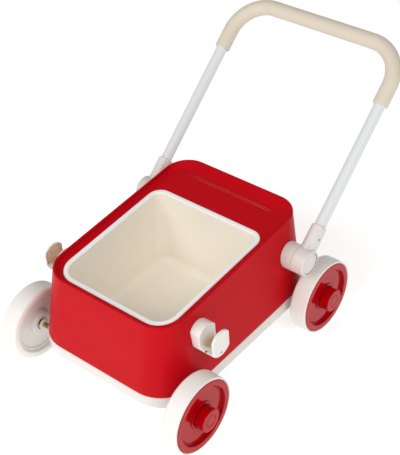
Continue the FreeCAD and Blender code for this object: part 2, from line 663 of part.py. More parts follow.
def u_pipe(name, start, outer, inner):
    """U-shaped tube through both bends, its two ends `start` from the hinge axis."""
    body = new_body(name)
    path = sketch_on(body)
    quarter = math.pi / 2
    low, high = start.value, reach.value - bend.value
    x, top = spread.value, reach.value
    path.addGeometry(Part.LineSegment(FreeCAD.Vector(x, low, 0), FreeCAD.Vector(x, high, 0)))
    right = Part.Circle(FreeCAD.Vector(x - bend.value, high, 0), FreeCAD.Vector(0, 0, 1), bend.value)
    path.addGeometry(Part.ArcOfCircle(right, 0.0, quarter))
    inner_x = x - bend.value
    path.addGeometry(Part.LineSegment(FreeCAD.Vector(inner_x, top, 0), FreeCAD.Vector(-inner_x, top, 0)))
    left = Part.Circle(FreeCAD.Vector(bend.value - x, high, 0), FreeCAD.Vector(0, 0, 1), bend.value)
    path.addGeometry(Part.ArcOfCircle(left, quarter, 2 * quarter))
    path.addGeometry(Part.LineSegment(FreeCAD.Vector(-x, high, 0), FreeCAD.Vector(-x, low, 0)))
    for i in range(4):
        path.addConstraint(Sketcher.Constraint("Tangent", i, 2, i + 1, 1))
    for geometry, x_size in ((1, spread - bend), (3, bend - spread)):
        fix(path, "DistanceX", (geometry, 3), x_size)
        fix(path, "DistanceY", (geometry, 3), reach - bend)
        fix(path, "Radius", (geometry,), bend)
    fix(path, "DistanceX", (0, 1), spread)
    fix(path, "DistanceY", (0, 1), start)
    fix(path, "DistanceX", (4, 2), -spread)
    fix(path, "DistanceY", (4, 2), start)
    section = circles(sketch_on(body, "XZ_Plane", -start), [(spread, 0.0)], outer, inner)
    doc.recompute()
    feature(body, "AdditivePipe", section, Spine=(path, []))
    path.Visibility = False
    return body


tube = u_pipe("HandleTube", S["tubeStart"], S["tubeRadius"], S["tubeRadius"] - S["tubeWall"])
keep(place_on_handle(tube), "handle_tube")
grip = u_pipe("Grip", S["gripStart"], S["gripRadius"], S["tubeRadius"])
keep(place_on_handle(grip), "grip")



def is_socket_end(edge):
    """True for the outer ring at the mouth of the tube socket."""
    if edge.Curve.TypeId != "Part::GeomCircle" or abs(edge.Curve.Radius - S["socketRadius"].value) > 0.01:
        return False
    return abs(edge.Curve.Center.y - S["socketEnd"].value) < 0.01


knuckle = new_body("Knuckle")
axis = [(0.0, 0.0)]
seam = S["seamX"] + S["gap"]
pad(knuckle, circles(sketch_on(knuckle, "XZ_Plane"), [(spread, 0.0)], S["socketRadius"]), S["socketEnd"],
    Reversed=True)
pocket(knuckle, circles(sketch_on(knuckle, "YZ_Plane", 120.0), axis, S["hingeRadius"] + S["gap"]),
       seam - 120.0, Reversed=True)
pad(knuckle, circles(sketch_on(knuckle, "YZ_Plane", seam), axis, S["hingeRadius"]), S["knuckleEnd"] - seam)
round_edges(knuckle, 2.4, lambda e: is_ring(e, S["hingeRadius"].value, S["knuckleEnd"].value))
round_edges(knuckle, 1.2, lambda e: is_socket_end(e))
well = circles(sketch_on(knuckle, "YZ_Plane", S["knuckleEnd"]), axis, S["buttonRadius"] + S["gap"])
pocket(knuckle, well, S["knuckleEnd"] - S["pocketFloor"])
bore = circles(sketch_on(knuckle, "YZ_Plane", S["knuckleEnd"]), axis, S["pinRadius"] + S["runClear"])
pocket(knuckle, bore, 30.0)
pocket(knuckle, circles(sketch_on(knuckle, "XZ_Plane", -S["socketEnd"]), [(spread, 0.0)], S["tubeRadius"]),
       S["socketEnd"] - S["tubeStart"], Reversed=True)
screw_spot = [(S["screwAlong"], S["screwUp"])]
pocket(knuckle, circles(sketch_on(knuckle, "YZ_Plane", 170.0), screw_spot, 1.8), 12.0)
mark = box(sketch_on(knuckle, "XY_Plane", 14.0), (154.8, 155.6), (17.3, 23.3))
pocket(knuckle, mark, 3.8)
keep(place_on_handle(knuckle), "knuckle_right")
mirrored(knuckle, "knuckle_left")

socket_screws = new_body("SocketScrews")
for side in (-1, 1):
    sketch = sketch_on(socket_screws, "YZ_Plane", (spread + S["socketRadius"] - 1.6) * side)
    pad(socket_screws, circles(sketch, screw_spot, 1.8), 1.3, Reversed=side > 0)
keep(place_on_handle(socket_screws), "socket_screws")

button = new_body("Button")
points = [(S["buttonInner"], 0.0), (S["buttonInner"], S["buttonRadius"]),
          (S["buttonFace"] - 0.5, S["buttonRadius"]), (S["buttonFace"], S["buttonRadius"] - 0.5),
          (S["buttonFace"], 0.0)]
spin(button, polygon(sketch_on(button), points))
slot = box(sketch_on(button, "YZ_Plane", S["buttonFace"]), (12.2, 14.2), (-2.0, 0.8))
pocket(button, slot, 0.8)
keep(place_on_handle(button), "release_button_right")
mirrored(button, "release_button_left")

# conical ring springs under the buttons
spring_floor = S["pocketFloor"] + 0.1
cone = new_body("SpringRing")
spin(cone, polygon(sketch_on(cone), [(spring_floor, 14.4), (spring_floor + 0.5, 14.4),
                                     (spring_floor + 2.4, 9.8), (spring_floor + 1.9, 9.8)]))
twin = doc.addObject("Part::Mirroring", "SpringTwin")
twin.Source = cone
twin.Normal = (1, 0, 0)
spring = doc.addObject("Part::Compound", "Springs")
spring.Links = [cone, twin]
keep(place_on_handle(spring), "button_springs")

# ---------------------------------------------------------------- check and write
doc.recompute()
for obj in doc.Objects:
    bad = [state for state in obj.State if state in ("Invalid", "Error")]
    if bad:
        raise RuntimeError(f"{obj.Name} ({obj.Label}) is {bad}")
os.makedirs("parts", exist_ok=True)
for obj in PARTS:
    shape = obj.Shape
    if shape.isNull() or not shape.isValid():
        raise RuntimeError(f"{obj.Label}: shape is missing or not valid")
    shape.exportStep(f"parts/{obj.Label}.step")
    extent = shape.BoundBox
    spans = " ".join(f"{axis} {low:7.1f} {high:7.1f}" for axis, low, high in (
        ("x", extent.XMin, extent.XMax), ("y", extent.YMin, extent.YMax), ("z", extent.ZMin, extent.ZMax)))
    print(f"{obj.Label:24s} solids {len(shape.Solids)} volume {shape.Volume:11.1f} {spans}")
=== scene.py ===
import json
import logging
import math
from dataclasses import dataclass, field, replace
from enum import Enum
from functools import lru_cache
from typing import Optional, Sequence, Union

import bmesh
import bpy
from mathutils import Matrix, Vector


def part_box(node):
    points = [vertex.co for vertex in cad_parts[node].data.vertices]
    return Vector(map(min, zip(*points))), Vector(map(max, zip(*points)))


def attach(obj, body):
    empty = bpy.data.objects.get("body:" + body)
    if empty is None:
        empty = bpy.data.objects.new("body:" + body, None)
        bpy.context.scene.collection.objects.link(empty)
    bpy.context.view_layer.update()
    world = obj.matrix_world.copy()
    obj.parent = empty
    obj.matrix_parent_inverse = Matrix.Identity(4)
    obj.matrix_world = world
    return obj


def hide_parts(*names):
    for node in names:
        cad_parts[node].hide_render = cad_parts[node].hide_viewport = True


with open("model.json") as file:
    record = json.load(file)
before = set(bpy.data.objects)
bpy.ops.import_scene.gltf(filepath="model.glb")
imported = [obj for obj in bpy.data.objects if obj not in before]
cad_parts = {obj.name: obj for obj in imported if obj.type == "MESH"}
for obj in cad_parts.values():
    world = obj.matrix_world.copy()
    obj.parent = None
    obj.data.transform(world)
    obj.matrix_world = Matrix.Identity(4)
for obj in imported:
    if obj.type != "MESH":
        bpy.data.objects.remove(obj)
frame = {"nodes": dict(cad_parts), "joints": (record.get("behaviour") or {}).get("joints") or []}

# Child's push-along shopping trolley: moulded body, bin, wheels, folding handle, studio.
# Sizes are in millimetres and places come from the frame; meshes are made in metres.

LOG = logging.getLogger("trolley")
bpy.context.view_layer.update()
MM = 0.001
TURN = 2.0 * math.pi
QUARTER = math.pi / 2
SCATTER_DEPTH = 2.0
SHEEN_ROUGHNESS = 0.6
ARM_LONG, ARM_WIDE = 1.05, 0.24
Colour = tuple[float, float, float]
Ring = list[Vector]


# --- shader helpers
class Channel:
    """A shader socket that arithmetic can be written with."""

    def __init__(self, sheet: "Sheet", socket: bpy.types.NodeSocket) -> None:
        """Wrap an output socket; new Math nodes are added to its sheet."""
        self.sheet = sheet
        self.socket = socket

    def _math(self, operation: str, first: "Operand", second: "Operand") -> "Channel":
        """Add one Math node and return its result as a channel."""
        node = self.sheet.add("ShaderNodeMath", {"operation": operation}, {0: first, 1: second})
        return Channel(self.sheet, node.outputs[0])

    def __add__(self, other: "Operand") -> "Channel":
        """Sum."""
        return self._math("ADD", self, other)

    def __radd__(self, other: "Operand") -> "Channel":
        """Sum with a number on the left."""
        return self._math("ADD", other, self)

    def __sub__(self, other: "Operand") -> "Channel":
        """Difference."""
        return self._math("SUBTRACT", self, other)

    def __rsub__(self, other: "Operand") -> "Channel":
        """Difference from a number on the left."""
        return self._math("SUBTRACT", other, self)

    def __mul__(self, other: "Operand") -> "Channel":
        """Product."""
        return self._math("MULTIPLY", self, other)

    def __rmul__(self, other: "Operand") -> "Channel":
        """Product with a number on the left."""
        return self._math("MULTIPLY", other, self)

    def __pow__(self, other: "Operand") -> "Channel":
        """Power."""
        return self._math("POWER", self, other)

    def size(self) -> "Channel":
        """Absolute value."""
        return self._math("ABSOLUTE", self, 0.0)

    def clamped(self) -> "Channel":
        """This channel held between 0 and 1."""
        node = self.sheet.add("ShaderNodeClamp", {}, {"Value": self})
        return Channel(self.sheet, node.outputs[0])


Operand = Union[Channel, bpy.types.NodeSocket, float, int, Sequence[float]]


class Sheet:
    """A node tree that nodes are added to."""

    def __init__(self, tree: bpy.types.NodeTree) -> None:
        """Take the tree."""
        self.tree = tree

    def add(self, kind: str, settings: Optional[dict] = None,
            inputs: Optional[dict] = None) -> bpy.types.Node:
        """Add one node.

        Args:
            kind: Blender's type name of the node.
            settings: Properties of the node, set before its inputs.
            inputs: Values or links by socket name or number.

        Returns:
            The new node.
        """
        node = self.tree.nodes.new(kind)
        for key, value in (settings or {}).items():
            setattr(node, key, value)
        for key, value in (inputs or {}).items():
            socket = node.inputs[key]
            if isinstance(value, Channel):
                self.tree.links.new(value.socket, socket)
            elif isinstance(value, bpy.types.NodeSocket):
                self.tree.links.new(value, socket)
            else:
                socket.default_value = value
        return node


class NodeSheet(Sheet):
    """The node tree of one finish, emptied and ready to be built."""

    def __init__(self, name: str) -> None:
        """Make the material.

        Args:
            name: Name of the material.
        """
        self.material = bpy.data.materials.new(name)
        self.material.use_nodes = True
        super().__init__(self.material.node_tree)
        self.tree.nodes.clear()
        self.place = self.add("ShaderNodeTexCoord").outputs["Object"]

    def axes(self) -> list[Channel]:
        """Object coordinates in millimetres, one channel for each axis."""
        split = self.add("ShaderNodeSeparateXYZ", {}, {"Vector": self.place})
        return [Channel(self, socket) * (1.0 / MM) for socket in split.outputs]

    def noise(self, size_mm: float, detail: float = 2.0,
              stretch: Sequence[float] = (1.0, 1.0, 1.0)) -> Channel:
        """Noise in object space.

        Args:
            size_mm: Size of one blotch in millimetres.
            detail: Number of octaves.
            stretch: Scale of the pattern along X, Y and Z.

        Returns:
            The noise value, about 0.5 on average.
        """
        mapped = self.add("ShaderNodeMapping", {}, {"Vector": self.place, "Scale": tuple(stretch)})
        node = self.add("ShaderNodeTexNoise", {}, {"Vector": mapped.outputs[0], "Detail": detail,
                                                   "Scale": 1.0 / (size_mm * MM)})
        return Channel(self, node.outputs[0])

    def cells(self, size_mm: float) -> Channel:
        """Distance to the nearest of points scattered about `size_mm` apart, as pores use."""
        node = self.add("ShaderNodeTexVoronoi", {}, {"Vector": self.place, "Scale": 1.0 / (size_mm * MM)})
        return Channel(self, node.outputs["Distance"])

    def mixed(self, share: Channel, first: Union[Colour, bpy.types.NodeSocket],
              second: Colour) -> bpy.types.NodeSocket:
        """Blend two colours.

        Args:
            share: Share of the second colour, 0 to 1.
            first: Colour, or a link to one, where share is 0.
            second: Colour where share is 1.

        Returns:
            The colour socket.
        """
        under = first if isinstance(first, bpy.types.NodeSocket) else (*first, 1.0)
        node = self.add("ShaderNodeMix", {"data_type": "RGBA"},
                        {"Factor": share, 6: under, 7: (*second, 1.0)})
        return node.outputs[2]

    def surface(self, fixed: dict, varying: dict, height: Optional[Channel] = None,
                depth_mm: float = 0.0) -> bpy.types.Material:
        """Close the tree with a Principled shader and an optional bump.

        Args:
            fixed: Uniform values by socket name.
            varying: Links by socket name.
            height: Height channel for the bump.
            depth_mm: Height of one unit of that channel, in millimetres.

        Returns:
            The finished material.
        """
        inputs = {**fixed, **varying}
        if height is not None:
            bump = self.add("ShaderNodeBump", {},
                            {"Height": height, "Distance": depth_mm * MM, "Strength": 1.0})
            inputs["Normal"] = bump.outputs[0]
        shader = self.add("ShaderNodeBsdfPrincipled", {}, inputs)
        self.add("ShaderNodeOutputMaterial", {}, {"Surface": shader.outputs[0]})
        return self.material


# --- finishes
class Grain(Enum):
    """Fine surface structure of a finish."""

    SPARKED = "even satin texture of a spark-eroded mould"
    PEEL = "long soft waves of sprayed powder"
    POLISHED = "gloss moulding with barely any structure"
    FOAM = "fine closed pores"
    DRAWN = "lines along the rod from drawing"


@dataclass(frozen=True)
class Finish:
    """One material, built from object coordinates."""

    name: str
    colour: Colour
    tone: Colour
    roughness: float
    spread: float = 0.05
    grain: Grain = Grain.SPARKED
    metallic: float = 0.0
    specular: float = 0.5
    scatter: float = 0.0
    sheen: float = 0.0

    def paint(self, sheet: NodeSheet, share: Channel) -> bpy.types.NodeSocket:
        """Base colour, with `share` of the second tone."""
        return sheet.mixed(share, self.colour, self.tone)

    def relief(self, sheet: NodeSheet) -> tuple[Channel, float]:
        """Height channel of the grain.

        Args:
            sheet: The node sheet to build on.

        Returns:
            The channel and the height of one unit of it, in millimetres.
        """
        if self.grain is Grain.SPARKED:
            return sheet.noise(0.45, 3.0) * 0.7 + sheet.noise(1.6, 1.0) * 0.3, 0.035
        if self.grain is Grain.PEEL:
            return sheet.noise(4.0, 1.0) * 0.9 + sheet.noise(1.4, 1.0) * 0.1, 0.01
        if self.grain is Grain.POLISHED:
            return sheet.noise(9.0, 1.0) * 0.8 + sheet.noise(1.2, 1.0) * 0.2, 0.012
        if self.grain is Grain.FOAM:
            pores = (sheet.cells(0.55) * 1.6).clamped()
            return pores * 0.6 + sheet.noise(2.2, 2.0) * 0.4, 0.09
        return sheet.noise(0.3, 2.0, (0.03, 1.0, 1.0)), 0.02

    def material(self) -> bpy.types.Material:
        """Build the material.

        Returns:
            The material with its node tree.
        """
        sheet = NodeSheet(self.name)
        blotch = sheet.noise(38.0, 3.0)
        fleck = sheet.noise(4.5, 3.0)
        share = (blotch * 0.75 + fleck * 0.35 - 0.05).clamped()
        rough = self.roughness + (blotch - 0.5) * self.spread + (fleck - 0.5) * self.spread
        height, depth = self.relief(sheet)
        fixed = {"Metallic": self.metallic, "Specular IOR Level": self.specular,
                 "Subsurface Weight": self.scatter, "Subsurface Scale": SCATTER_DEPTH * MM,
                 "Sheen Weight": self.sheen, "Sheen Roughness": SHEEN_ROUGHNESS}
        varying = {"Base Color": self.paint(sheet, share), "Roughness": rough.clamped()}
        return sheet.surface(fixed, varying, height, depth)


@dataclass(frozen=True)
class AccentFinish(Finish):
    """Finish with a second colour laid over part of it, placed from an axis along X."""

    accent: Colour = (1.0, 1.0, 1.0)
    axis_y: float = 0.0
    axis_z: float = 0.0

    def away(self, y: Channel, z: Channel) -> Channel:
        """Distance from the axis."""
        return ((y - self.axis_y) ** 2.0 + (z - self.axis_z) ** 2.0) ** 0.5

    def mask(self, sheet: NodeSheet) -> Channel:
        """Share of the second colour, 0 to 1; each kind of accent gives its own."""
        raise NotImplementedError

    def paint(self, sheet: NodeSheet, share: Channel) -> bpy.types.NodeSocket:
        """Base colour with the second colour laid on."""
        return sheet.mixed(self.mask(sheet), super().paint(sheet, share), self.accent)


@dataclass(frozen=True)
class RecessTanFinish(AccentFinish):
    """Clip moulding painted a darker warm tan in its recesses: the trough along X and the hollow of the
    cover.
    """

    # darker warm tan painted into the recesses
    accent: Colour = (0.60, 0.41, 0.23)
    reach: float = 13.4
    inner_x: float = 0.0
    inner_y: float = 17.2
    inner_round: float = 21.0

    def mask(self, sheet: NodeSheet) -> Channel:
        """Trough and inner face."""
        x, y, z = sheet.axes()
        away = self.away(y, z)
        trough = ((self.reach - away) * 0.6).clamped() * ((self.axis_z + 2.0 - z) * 0.11).clamped()
        hollow = (self.inner_y - (y - self.axis_y).size()).clamped()
        hollow = hollow * ((self.inner_round - away) * 0.5).clamped()
        # patchy noise over the darker tan painted on the cover's hollow inner face
        patchy = (sheet.noise(7.0, 2.0) * 0.8 + 0.45).clamped()
        inner = ((self.inner_x - x.size()) * 2.0).clamped() * hollow * patchy
        return (trough * 0.8 + inner * 0.85).clamped()


@dataclass(frozen=True)
class SeamedFinish(AccentFinish):
    """Hinge moulding whose joints, rings about an axis along X, have a dark shadow line."""

    accent: Colour = (0.22, 0.20, 0.185)
    ring: float = 16.75
    ring_from: float = 158.0
    seam_x: float = 143.15

    def mask(self, sheet: NodeSheet) -> Channel:
        """Shadow lines on the joints."""
        x, y, z = sheet.axes()
        away = self.away(y, z)
        ring = (1.6 - (away - self.ring).size() * 2.6).clamped() * (x.size() - self.ring_from).clamped()
        seam = (1.5 - (x.size() - self.seam_x).size() * 2.6).clamped()
        return (ring * 0.7 + seam * 0.55).clamped()


@dataclass(frozen=True)
class LitRimFinish(AccentFinish):
    """Bin moulding whose rim, everything above a tilted level, is painted whiter as painted light on its top.
    """

    # whiter tone of the painted light on the rim
    accent: Colour = (0.90, 0.885, 0.86)
    slope: float = 0.0
    level: float = 0.0

    def mask(self, sheet: NodeSheet) -> Channel:
        """Painted light: everything above the level is whiter."""
        _, y, z = sheet.axes()
        return ((z - y * self.slope - self.level) * 0.6).clamped()


RED_SATIN = Finish("red_satin_moulding", (0.51, 0.0006, 0.006), (0.485, 0.0005, 0.0055), 0.42, 0.05,
                   specular=0.095)
RED_BEAD = replace(RED_SATIN, name="red_polished_bead", roughness=0.2, specular=0.6)
RED_GLOSS = Finish("red_gloss_moulding", (0.43, 0.0006, 0.0035), (0.405, 0.0005, 0.003), 0.07, 0.02,
                   Grain.POLISHED, specular=0.2)
WHITE_SATIN = Finish("white_satin_moulding", (0.71, 0.675, 0.635), (0.69, 0.655, 0.61), 0.36, 0.06,
                     specular=0.4, scatter=0.04)
TYRE_WHITE = Finish("white_tyre", (0.82, 0.79, 0.745), (0.79, 0.76, 0.715), 0.5, 0.08, specular=0.4,
                    scatter=0.05)
BIN_CREAM = Finish("cream_satin_moulding", (0.905, 0.85, 0.745), (0.885, 0.825, 0.715), 0.4, 0.05,
                   specular=0.45)
TUBE_WHITE = Finish("white_powder_coat", (0.72, 0.725, 0.735), (0.70, 0.705, 0.715), 0.2, 0.05, Grain.PEEL,
                    specular=0.6)
GRIP_BEIGE = Finish("beige_foam_sleeve", (0.69, 0.61, 0.505), (0.665, 0.585, 0.48), 0.8, 0.08, Grain.FOAM,
                    specular=0.3, sheen=0.1)
YELLOW_ZINC = Finish("yellow_passivated_steel", (0.42, 0.27, 0.05), (0.33, 0.24, 0.08), 0.32, 0.12,
                     Grain.DRAWN, metallic=1.0)
SCREW_STEEL = Finish("plated_screw_steel", (0.36, 0.31, 0.25), (0.30, 0.26, 0.21), 0.38, 0.1, Grain.DRAWN,
                     metallic=1.0)


@lru_cache(maxsize=None)
def material_of(finish: Finish) -> bpy.types.Material:
    """Material of a finish, built on first use and then shared."""
    return finish.material()


# --- mesh helpers
def arc(start: float, stop: float, steps: int) -> list[float]:
    """Angles from start to stop in equal steps, both ends included."""
    return [start + (stop - start) * i / steps for i in range(steps + 1)]


def quarter(steps: int) -> list[tuple[float, float]]:
    """Quarter round in equal turns: one share rising from 0 to 1, one falling from 1 to 0."""
    return [(1 - math.cos(a), 1 - math.sin(a)) for a in arc(0.0, QUARTER, steps)]


def eased(corners: Sequence[tuple[float, float, float]], steps: int = 5) -> list[tuple[float, float]]:
    """Round the corners of a closed outline.

    Args:
        corners: Corner points with their rounding radius: (u, v, radius), in order.
        steps: Spans of one rounding.

    Returns:
        The outline's points.
    """
    points: list[tuple[float, float]] = []
    count = len(corners)
    for i, (u, v, radius) in enumerate(corners):
        here = Vector((u, v))
        before = Vector(corners[i - 1][:2]) - here
        after = Vector(corners[(i + 1) % count][:2]) - here
        if radius <= 0.0 or before.length < 1e-9 or after.length < 1e-9:
            points.append((u, v))
            continue
        before_way, after_way = before.normalized(), after.normalized()
        half = math.acos(max(-1.0, min(1.0, before_way.dot(after_way)))) / 2.0
        reach = min(radius / math.tan(half), before.length * 0.49, after.length * 0.49)
        radius = reach * math.tan(half)
        centre = here + (before_way + after_way).normalized() * (radius / math.sin(half))
        first, last = here + before_way * reach - centre, here + after_way * reach - centre
        sweep = first.angle_signed(last)
        for share in arc(0.0, 1.0, steps):
            turned = Matrix.Rotation(-sweep * share, 2) @ first
            points.append(tuple(centre + turned))
    return points


def skin(rings: Sequence[Ring], closed: bool) -> bpy.types.Mesh:
    """Join rings of equal length into one closed skin.

    Args:
        rings: Rings of points, in metres.
        closed: Whether the last ring joins the first; otherwise both of them are filled.

    Returns:
        The mesh, with its faces pointing outwards.
    """
    work = bmesh.new()
    rows = [[work.verts.new(point) for point in ring] for ring in rings]
    around = len(rows[0])
    for i in range(len(rows) if closed else len(rows) - 1):
        low, high = rows[i], rows[(i + 1) % len(rows)]
        for j in range(around):
            after = (j + 1) % around
            work.faces.new((low[j], low[after], high[after], high[j]))
    if not closed:
        work.faces.new(rows[0])
        work.faces.new(rows[-1])
    bmesh.ops.remove_doubles(work, verts=work.verts, dist=1e-7)
    bmesh.ops.dissolve_degenerate(work, edges=work.edges, dist=1e-7)
    bmesh.ops.recalc_face_normals(work, faces=work.faces)
    mesh = bpy.data.meshes.new("skin")
    work.to_mesh(mesh)
    work.free()
    return mesh


def linked(name: str, data: bpy.types.ID) -> bpy.types.Object:
    """New object in the scene."""
    thing = bpy.data.objects.new(name, data)
    bpy.context.scene.collection.objects.link(thing)
    return thing


def evaluated(thing: bpy.types.Object) -> bpy.types.Mesh:
    """Plain mesh of an object as its modifiers leave it."""
    graph = bpy.context.evaluated_depsgraph_get()
    return bpy.data.meshes.new_from_object(thing.evaluated_get(graph), preserve_all_data_layers=True,
                                           depsgraph=graph)


def hinge_axis() -> Vector:
    """A point on the handle's hinge axis, in metres."""
    return Vector(next(joint for joint in frame["joints"] if joint["name"] == "handle_fold")["pos_m"])


def finished(name: str, mesh: bpy.types.Mesh, finish: Finish, body: str, *nodes: str,
             sharp: float = 40.0, slot: Optional[str] = None) -> bpy.types.Object:
    """Make a piece of a mesh, shade it, dress it and hang it on its body.

    Args:
        name: Name of the piece.
        mesh: Its mesh, in place.
        finish: Its finish.
        body: The body that it rides on.
        nodes: CAD nodes that it stands for.
        sharp: Angle in degrees over which an edge stays sharp.
        slot: Material slot of the record, where the piece replaces no node; not used.

    Returns:
        The piece.
    """
    mesh.name = name
    mesh.materials.clear()
    mesh.materials.append(material_of(finish))
    piece = linked(name, mesh)
    mesh.shade_smooth()
    mesh.set_sharp_from_angle(angle=math.radians(sharp))
    weighted = piece.modifiers.new("weighted", "WEIGHTED_NORMAL")
    weighted.keep_sharp = True
    weighted.weight = 60
    settled = evaluated(piece)
    piece.modifiers.clear()
    piece.data = settled
    settled.name = name
    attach(piece, body)
    if nodes:
        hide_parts(*nodes)
    LOG.info("%s: %d faces on %s", name, len(piece.data.polygons), body)
    return piece


def dress(node: str, finish: Finish) -> None:
    """Give a kept CAD node its finish.

    Args:
        node: Name of the node.
        finish: Its finish.
    """
    piece = frame["nodes"][node]
    for place in piece.material_slots:
        place.material = material_of(finish)
    LOG.info("%s: kept, %s", node, finish.name)


def lathe(profile: Sequence[tuple[float, float]], centre: Vector, side: int,
          segments: int = 96) -> bpy.types.Mesh:
    """Turn a closed profile about the X direction.

    Args:
        profile: Points (distance outwards from the centre, radius), in millimetres.
        centre: Where distance 0 lies, in metres.
        side: 1 for outwards along +X, -1 along -X.
        segments: Number of spans round the axis.

    Returns:
        The mesh.
    """
    rings = []
    for out, radius in profile:
        rings.append([centre + Vector((out * side, radius * math.cos(a), radius * math.sin(a))) * MM
                      for a in arc(0.0, TURN, segments)[:-1]])
    return skin(rings, closed=True)


# --- Geometry Nodes recipes
class Recipe(Sheet):
    """A Geometry Nodes tree with named sizes, built in code and turned into plain mesh."""

    def __init__(self, name: str, sizes: Sequence[str]) -> None:
        """Make the tree with its inputs and its output.

        Args:
            name: Name of the tree.
            sizes: Names of its inputs besides the geometry, all lengths in metres.
        """
        super().__init__(bpy.data.node_groups.new(name, "GeometryNodeTree"))
        face = self.tree.interface
        face.new_socket("Geometry", in_out="INPUT", socket_type="NodeSocketGeometry")
        self.keys = {size: face.new_socket(size, in_out="INPUT", socket_type="NodeSocketFloat").identifier
                     for size in sizes}
        face.new_socket("Geometry", in_out="OUTPUT", socket_type="NodeSocketGeometry")
        self.given = self.add("NodeGroupInput").outputs

    def size(self, name: str) -> Channel:
        """One named size."""
        return Channel(self, self.given[name])

    def named(self, name: str, kind: str = "FLOAT") -> bpy.types.NodeSocket:
        """An attribute of the geometry handed in."""
        return self.add("GeometryNodeInputNamedAttribute", {"data_type": kind}, {"Name": name}).outputs[0]

    def close(self, geometry: bpy.types.NodeSocket, finish: Finish) -> None:
        """End the tree: real mesh, then its material.

        Args:
            geometry: What was built.
            finish: Its finish.
        """
        real = self.add("GeometryNodeRealizeInstances", {}, {"Geometry": geometry})
        dressed = self.add("GeometryNodeSetMaterial", {}, {"Geometry": real.outputs[0],
                                                           "Material": material_of(finish)})
        self.add("NodeGroupOutput", {}, {0: dressed.outputs[0]})

    def bake(self, seed: bpy.types.Mesh, sizes: dict[str, float]) -> bpy.types.Mesh:
        """Run the tree on a mesh.

        Args:
            seed: Points or lines that the tree starts from, with their attributes.
            sizes: Its named sizes, in millimetres.

        Returns:
            The plain mesh.
        """
        carrier = linked(self.tree.name, seed)
        modifier = carrier.modifiers.new("recipe", "NODES")
        modifier.node_group = self.tree
        for name, value in sizes.items():
            modifier[self.keys[name]] = value * MM
        mesh = evaluated(carrier)
        carrier.modifiers.remove(modifier)
        bpy.data.objects.remove(carrier)
        return mesh


def line_mesh(points: Ring, **marks: Sequence[float]) -> bpy.types.Mesh:
    """Open line of points with a number for each point.

    Args:
        points: Points in metres.
        marks: Values of each named attribute, one for each point.

    Returns:
        The mesh of edges.
    """
    mesh = bpy.data.meshes.new("line")
    mesh.from_pydata([tuple(p) for p in points], [(i, i + 1) for i in range(len(points) - 1)], [])
    for name, values in marks.items():
        mesh.attributes.new(name, "FLOAT", "POINT").data.foreach_set("value", list(values))
    return mesh


def swept(name: str, finish: Finish, bend_spans: int = 20, around: int = 40) -> Recipe:
    """Recipe for a round bar along a bent line: its corners are filleted, then the section swept.

    Args:
        name: Name of the tree.
        finish: Finish of the bar.
        bend_spans: Spans of one bend, or 0 for a line whose own points are its bends.
        around: Points round the section.

    Returns:
        The recipe; its line has the attribute "swell" (share of the radius) and, where it has
        bends, "corner" (0 or 1).
    """
    tree = Recipe(name, ("Radius", "Bend"))
    line = tree.add("GeometryNodeMeshToCurve", {}, {"Mesh": tree.given["Geometry"]})
    if bend_spans:
        turn = tree.size("Bend") * Channel(tree, tree.named("corner"))
        line = tree.add("GeometryNodeFilletCurve", {"mode": "POLY"},
                        {"Curve": line.outputs[0], "Count": bend_spans, "Radius": turn, "Limit Radius": True})
    section = tree.add("GeometryNodeCurvePrimitiveCircle", {"mode": "RADIUS"},
                       {"Resolution": around, "Radius": tree.size("Radius")})
    bar = tree.add("GeometryNodeCurveToMesh", {},
                   {"Curve": line.outputs[0], "Profile Curve": section.outputs[0],
                    "Scale": tree.named("swell"), "Fill Caps": True})
    whole = tree.add("GeometryNodeMergeByDistance", {}, {"Geometry": bar.outputs[0], "Distance": 0.01 * MM})
    tree.close(whole.outputs[0], finish)
    return tree


